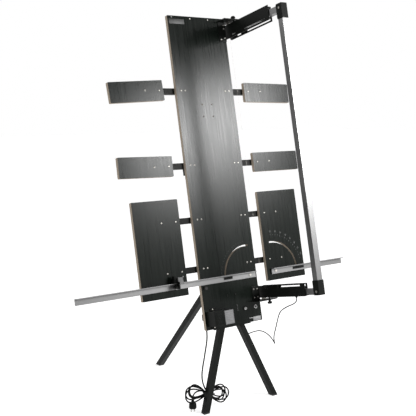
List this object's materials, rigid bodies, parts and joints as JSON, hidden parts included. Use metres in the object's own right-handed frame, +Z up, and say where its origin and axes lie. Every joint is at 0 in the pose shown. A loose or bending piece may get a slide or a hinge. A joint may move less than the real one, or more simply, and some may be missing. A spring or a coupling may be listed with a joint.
{
  "type": "hot wire insulation board cutter",
  "caption": "Tripod stand with a tall split backboard, hinged aluminium rest rails and a swivelling, sliding bow that carries a vertical hot cutting wire.",
  "frame": {"origin": "on the floor, midway between the ends of the rails and midway between the front of the bow and the rear foot", "axes": "+X to the user's right along the rails, -Y towards the user in front of the boards, +Z up"},
  "size_m": [1.623, 1.1184, 1.9622],
  "materials": {
    "film_faced_plywood": "black phenolic film with a soft gloss on both faces, bare pale birch layers on the edges",
    "black_steel": "satin black powder coat",
    "aluminium": "satin extruded",
    "zinc_steel": "zinc plated",
    "black_plastic": "moulded, fine texture",
    "rubber": "matt",
    "cord_rubber": "satin rubber sheath",
    "button_plastic": "polished",
    "ceramic_holder": "heat resistant moulding",
    "laminated_iron": "varnished laminations",
    "copper_winding": "enamelled copper",
    "resistance_wire": "bare drawn wire"
  },
  "bodies": {
    "frame": {"main_board": "film_faced_plywood", "wing_left_upper": "film_faced_plywood", "wing_right_upper": "film_faced_plywood", "wing_left_middle": "film_faced_plywood", "wing_right_middle": "film_faced_plywood", "wing_left_lower": "film_faced_plywood", "wing_right_lower": "film_faced_plywood", "left_arms": "black_steel", "right_arms": "black_steel", "arm_end_plugs": "black_plastic", "board_screws": "zinc_steel", "tripod_head": "black_steel", "front_leg_left": "black_steel", "front_leg_right": "black_steel", "rubber_pads": "rubber", "rear_leg_bolt": "zinc_steel", "bracket_bolts": "zinc_steel", "transformer_housing": "black_steel", "transformer_cover": "black_plastic", "transformer_core": "laminated_iron", "transformer_coil": "copper_winding", "pivot_bolts": "zinc_steel", "swivel_bracket_upper": "black_steel", "swivel_bracket_lower": "black_steel", "panel_fittings": "black_plastic", "mains_cord": "cord_rubber", "mains_hank": "cord_rubber", "mains_plug": "cord_rubber", "low_voltage_lead": "cord_rubber", "carry_handle": "black_steel"},
    "power_button": {"power_button": "button_plastic"},
    "leg_clamp_left": {"leg_clamp_left": "black_plastic"},
    "leg_clamp_right": {"leg_clamp_right": "black_plastic"},
    "rear_leg": {"rear_leg": "black_steel", "rear_foot": "rubber"},
    "left_rail": {"left_rail": "aluminium", "left_clamp_bolt": "black_plastic"},
    "left_clamp_knob": {"left_clamp_knob": "black_plastic"},
    "right_rail": {"right_rail": "aluminium", "right_clamp_bolt": "black_plastic"},
    "right_clamp_knob": {"right_clamp_knob": "black_plastic"},
    "stop": {"stop_slider": "black_plastic", "stop_plate": "aluminium"},
    "stop_knob": {"stop_knob": "black_plastic"},
    "swivel": {"guide_arm_upper": "black_steel", "guide_arm_lower": "black_steel", "slide_bearings": "black_plastic", "arm_gland": "black_plastic"},
    "lock_knob_upper": {"lock_knob_upper": "black_plastic"},
    "lock_knob_lower": {"lock_knob_lower": "black_plastic"},
    "bow": {"bow_tube": "aluminium", "corner_upper": "black_plastic", "corner_lower": "black_plastic", "slide_tube_upper": "aluminium", "slide_tube_lower": "aluminium", "bow_bolts": "zinc_steel", "wire_holders": "ceramic_holder", "hot_wire": "resistance_wire", "wire_spring": "zinc_steel"}
  },
  "joints": [
    {"name": "power_button_press", "type": "slide", "parent": "frame", "child": "power_button", "axis": [0, -0.9766, 0.2151], "range_m": [-0.003, 0], "stiffness_N_per_m": 1200},
    {"name": "leg_clamp_left_turn", "type": "hinge", "parent": "frame", "child": "leg_clamp_left", "pos_m": [-0.00134, -0.09567, 0.41816], "axis": [0, 0.9766, -0.2151], "range_deg": [0, 540]},
    {"name": "leg_clamp_right_turn", "type": "hinge", "parent": "frame", "child": "leg_clamp_right", "pos_m": [0.08234, -0.09567, 0.41816], "axis": [0, 0.9766, -0.2151], "range_deg": [0, 540]},
    {"name": "rear_leg_fold", "type": "hinge", "parent": "frame", "child": "rear_leg", "pos_m": [0.0405, 0.01399, 0.59061], "axis": [-1, 0, 0], "range_deg": [0, 44]},
    {"name": "left_rail_tilt", "type": "hinge", "parent": "frame", "child": "left_rail", "pos_m": [0.1675, -0.11846, 0.62387], "axis": [0, 0.9766, -0.2151], "range_deg": [0, 88]},
    {"name": "left_clamp_turn", "type": "hinge", "parent": "left_rail", "child": "left_clamp_knob", "pos_m": [0.0175, -0.08281, 0.61602], "axis": [0, 0.9766, -0.2151], "range_deg": [0, 540]},
    {"name": "right_rail_tilt", "type": "hinge", "parent": "frame", "child": "right_rail", "pos_m": [0.3385, -0.11846, 0.62387], "axis": [0, -0.9766, 0.2151], "range_deg": [0, 88]},
    {"name": "right_clamp_turn", "type": "hinge", "parent": "right_rail", "child": "right_clamp_knob", "pos_m": [0.4885, -0.08281, 0.61602], "axis": [0, 0.9766, -0.2151], "range_deg": [0, 540]},
    {"name": "stop_slide", "type": "slide", "parent": "left_rail", "child": "stop", "axis": [1, 0, 0], "range_m": [-0.47, 0.25]},
    {"name": "stop_knob_turn", "type": "hinge", "parent": "stop", "child": "stop_knob", "pos_m": [-0.2845, -0.15008, 0.62674], "axis": [-1, 0, 0], "range_deg": [0, 540]},
    {"name": "bow_swivel", "type": "hinge", "parent": "frame", "child": "swivel", "pos_m": [0.2495, 0.02131, 1.19109], "axis": [0, 0.2151, 0.9766], "range_deg": [0, 45]},
    {"name": "lock_knob_upper_turn", "type": "hinge", "parent": "swivel", "child": "lock_knob_upper", "pos_m": [0.2495, 0.13534, 1.91347], "axis": [0, 0.2151, 0.9766], "range_deg": [0, 540]},
    {"name": "lock_knob_lower_turn", "type": "hinge", "parent": "swivel", "child": "lock_knob_lower", "pos_m": [0.2495, -0.17867, 0.48764], "axis": [0, -0.2151, -0.9766], "range_deg": [0, 540]},
    {"name": "bow_slide", "type": "slide", "parent": "swivel", "child": "bow", "axis": [0, -0.9766, 0.2151], "range_m": [0, 0.25]}
  ]
}
